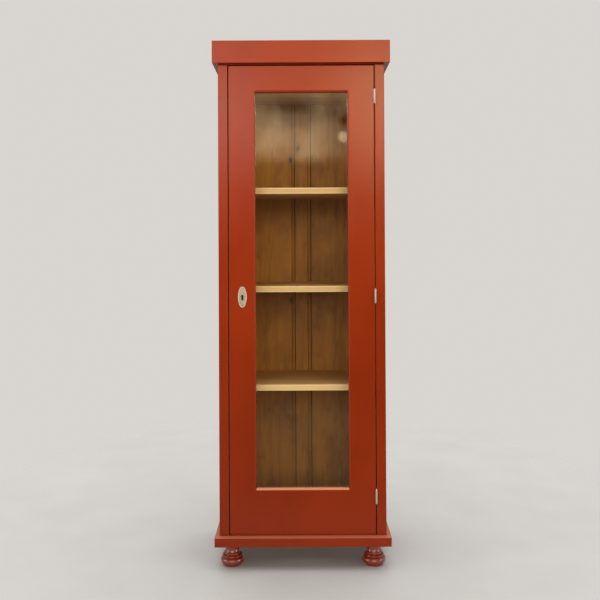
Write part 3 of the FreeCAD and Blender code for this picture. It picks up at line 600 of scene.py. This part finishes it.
# Floor. A round of plain pale floor that fades into the backdrop, and isn't part of the cabinet.
# It is worked out as rings of points: (r cos a, r sin a, 0).
floor_r = 1.7
floor_y = 0.65
tree = new_finish("pale_floor")
x, y, z = tree.axes()
away = (x * x + (y - floor_y) * (y - floor_y)) ** 0.5
mottle = tree.noise((0.25, 0.25, 0.25), 4.0)
floor_colour = tree.mix(mottle, srgb(170, 169, 167), srgb(184, 183, 181))
stone = tree.node("ShaderNodeBsdfPrincipled", {}, {"Base Color": floor_colour, "Roughness": 0.7})
gone = tree.node("ShaderNodeBsdfTransparent")
shown = tree.node("ShaderNodeMixShader", {}, {0: away.step(floor_r, floor_r - 0.7), 1: gone, 2: stone})
tree.node("ShaderNodeOutputMaterial", {}, {"Surface": shown}, None)
rings = lathe([(0.0, 0.0), (0.5, 0.0), (1.0, 0.0), (1.4, 0.0), (floor_r, 0.0)], 96)
floor = grid_piece("floor", rings[None, ::-1] + np.array([0.0, floor_y, 0.0]), tree.owner)


# Light. A soft box each side of the camera, the right one stronger, in a plain room.
# The room is pale above, beside and behind the cabinet and has a window each side. Its far end, which
# the glass and the paint mirror, is dim but for a patchy ceiling, two bright panels and a small lamp.
def soft_box(name, spot, target, size, radiance, spread):
    """An oblong area lamp that no camera sees; its power is radiance x pi x area."""
    lamp = bpy.data.lights.new(name, "AREA")
    lamp.shape = "RECTANGLE"
    lamp.size, lamp.size_y = size
    lamp.energy = radiance * np.pi * size[0] * size[1]
    lamp.spread = np.radians(spread)
    box = bpy.data.objects.new(name, lamp)
    aim = (Vector(target) - Vector(spot)).to_track_quat("-Z", "Y")
    box.visible_camera = False
    box.visible_glossy = False
    box.matrix_world = Matrix.Translation(spot) @ aim.to_matrix().to_4x4()
    bpy.context.collection.objects.link(box)


soft_box("left_box", (-1.35, -2.5, 2.3), (0.0, -0.2, 1.75), (0.9, 0.9), 1.18, 60.0)
soft_box("right_box", (1.35, -2.5, 2.3), (0.0, -0.2, 1.75), (0.9, 0.9), 1.95, 60.0)

world = bpy.data.worlds.new("room")
bpy.context.scene.world = world
tree = Tree(world)
direction = tree.node("ShaderNodeTexCoord", output="Generated")
side, behind, up = tree.node("ShaderNodeSeparateXYZ", {}, {0: direction}, ("X", "Y", "Z"))
ahead = behind.step(-0.82, -0.94)
in_glass = up.step(0.21, 0.2)
dip = up.step(0.165, 0.18) * in_glass
spots = {"Vector": direction, "Scale": 26.0, "Detail": 3.0}
patches = tree.node("ShaderNodeTexNoise", {}, spots).step(0.3, 0.7)
right_pane = side.step(0.01, 0.05) * side.step(0.075, 0.062) * (in_glass - dip)
haze = 1.6 + patches * 1.6 - in_glass * 0.6 - dip * 1.1 - right_pane * 1.7
right_glow = side.step(0.064, 0.082) * side.step(0.155, 0.12) * up.step(0.27, 0.22)
left_glow = side.step(-0.064, -0.082) * side.step(-0.145, -0.12) * up.step(0.225, 0.185)
haze = haze + right_glow * 24.0 + left_glow * 11.0
ceiling = up.step(0.1, 0.125) * (0.4 + ahead * haze) + up.step(0.78, 0.9) * 3.2
wall = behind.step(-0.1, 0.3) * 0.35 + abs(side).step(0.15, 0.4) * behind.step(0.4, 0.1)
wall = wall * up.step(-0.5, -0.2) * up.step(0.125, 0.1) * 0.9
windows = abs(side).step(0.86, 0.89) * abs(side).step(0.97, 0.95) * behind.step(0.0, -0.1)
windows = windows * up.step(0.05, 0.1) * up.step(0.3, 0.24) * 9.0
ground = up.step(-0.19, -0.23) * ahead * 0.25 + up.step(-0.33, -0.42) * behind.step(0.1, -0.3) * 0.95
off_side = side - 0.0585
off_up = up - 0.141
lamp = (off_side * off_side + off_up * off_up).step(0.00008, 0.00001) * ahead * 4.0
level = 0.05 + ceiling + wall + windows + ground + lamp
seen = tree.node("ShaderNodeLightPath", output="Is Camera Ray")
tint = tree.mix(ahead * side.step(-0.075, -0.06), (1.0, 0.99, 0.97, 1.0), (1.0, 0.75, 0.44, 1.0))
room = tree.node("ShaderNodeVectorMath", {"operation": "SCALE"}, {0: tint, "Scale": level})
backdrop = srgb(216, 213, 208)
sky = tree.node("ShaderNodeBackground", {}, {"Color": tree.mix(seen, room, backdrop), "Strength": 1.0})
tree.node("ShaderNodeOutputWorld", {}, {"Surface": sky}, None)


# Camera. It stands square to the door, a little above the middle of the window.
# The lens is shifted down so that the uprights stay upright.
lens = bpy.data.cameras.new("camera")
lens.lens = 44.83
lens.sensor_width = 36.0
lens.shift_y = -0.1027
camera = bpy.data.objects.new("camera", lens)
camera.location = (-0.0059, -2.7235, 1.1095)
camera.rotation_euler = np.radians((90.4, 0.27, 0.0))
bpy.context.collection.objects.link(camera)
bpy.context.scene.camera = camera
bpy.context.scene.view_settings.view_transform = "Standard"
